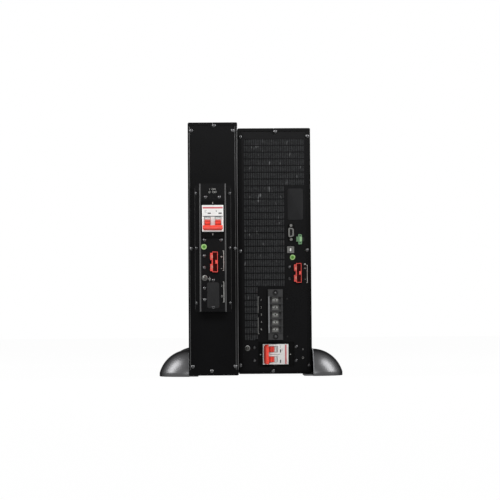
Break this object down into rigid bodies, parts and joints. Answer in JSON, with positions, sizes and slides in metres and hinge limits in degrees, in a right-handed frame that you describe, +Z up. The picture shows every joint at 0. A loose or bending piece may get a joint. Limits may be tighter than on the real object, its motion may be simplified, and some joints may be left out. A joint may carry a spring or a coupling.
{
  "type": "rack-mount uninterruptible power supply",
  "caption": "Black rack-mount uninterruptible power supply and battery module standing side by side on domed feet, with vented rear panel, red breakers and red DC connectors.",
  "frame": {"origin": "middle of the bottom of the whole object, on the floor", "axes": "+Z up, -Y out of the rear panels, +X to the right as the rear panels are looked at"},
  "size_m": [0.3246, 0.7354, 0.441],
  "materials": {
    "chassis_sheet": "satin black powder coat",
    "black_sheet": "matt black paint",
    "dark_plastic": "matt",
    "breaker_plastic": "fine matt",
    "red_plastic": "satin",
    "connector_red": "satin",
    "plated_steel": "zinc plated",
    "green_plastic": "satin",
    "block_plastic": "matt",
    "battery_case": "matt",
    "board_laminate": "satin",
    "inner_sheet": "galvanised sheet",
    "heat_sink": "extruded",
    "contact_silver": "silver plated",
    "bezel_plastic": "fine matt",
    "display_glass": "gloss",
    "foot_plastic": "satin"
  },
  "bodies": {
    "cabinet": {"battery_cover": "chassis_sheet", "battery_chassis": "chassis_sheet", "battery_rear_panel": "chassis_sheet", "connector_box": "chassis_sheet", "battery_breaker_plate": "black_sheet", "battery_breaker_body": "breaker_plastic", "breaker_pins": "plated_steel", "battery_dc_connector": "connector_red", "battery_dc_contacts": "contact_silver", "blank_cover": "dark_plastic", "battery_cell_pack": "battery_case", "battery_front_bezel": "bezel_plastic", "ups_cover": "chassis_sheet", "ups_chassis": "chassis_sheet", "ups_rear_panel": "chassis_sheet", "slot_cover": "dark_plastic", "serial_port": "plated_steel", "usb_port": "plated_steel", "relay_terminal": "green_plastic", "ups_dc_connector": "connector_red", "ups_dc_contacts": "contact_silver", "terminal_block": "block_plastic", "terminal_clamps": "plated_steel", "input_breaker_plate": "black_sheet", "input_breaker_body": "breaker_plastic", "ups_main_board": "board_laminate", "ups_heat_sink": "heat_sink", "ups_power_stage": "inner_sheet", "ups_front_bezel": "bezel_plastic", "display_window": "display_glass", "control_buttons": "dark_plastic", "stand_feet": "foot_plastic"},
    "battery_handle": {"battery_breaker_handle": "red_plastic"},
    "input_handle": {"input_breaker_handle": "red_plastic"}
  },
  "joints": [
    {"name": "battery_breaker_switch", "type": "hinge", "parent": "cabinet", "child": "battery_handle", "pos_m": [-0.0654, -0.35012, 0.2674], "axis": [-1, 0, 0], "range_deg": [0, 84]},
    {"name": "input_breaker_switch", "type": "hinge", "parent": "cabinet", "child": "input_handle", "pos_m": [0.0398, -0.21512, 0.0376], "axis": [0, 0, 1], "range_deg": [0, 84]}
  ]
}
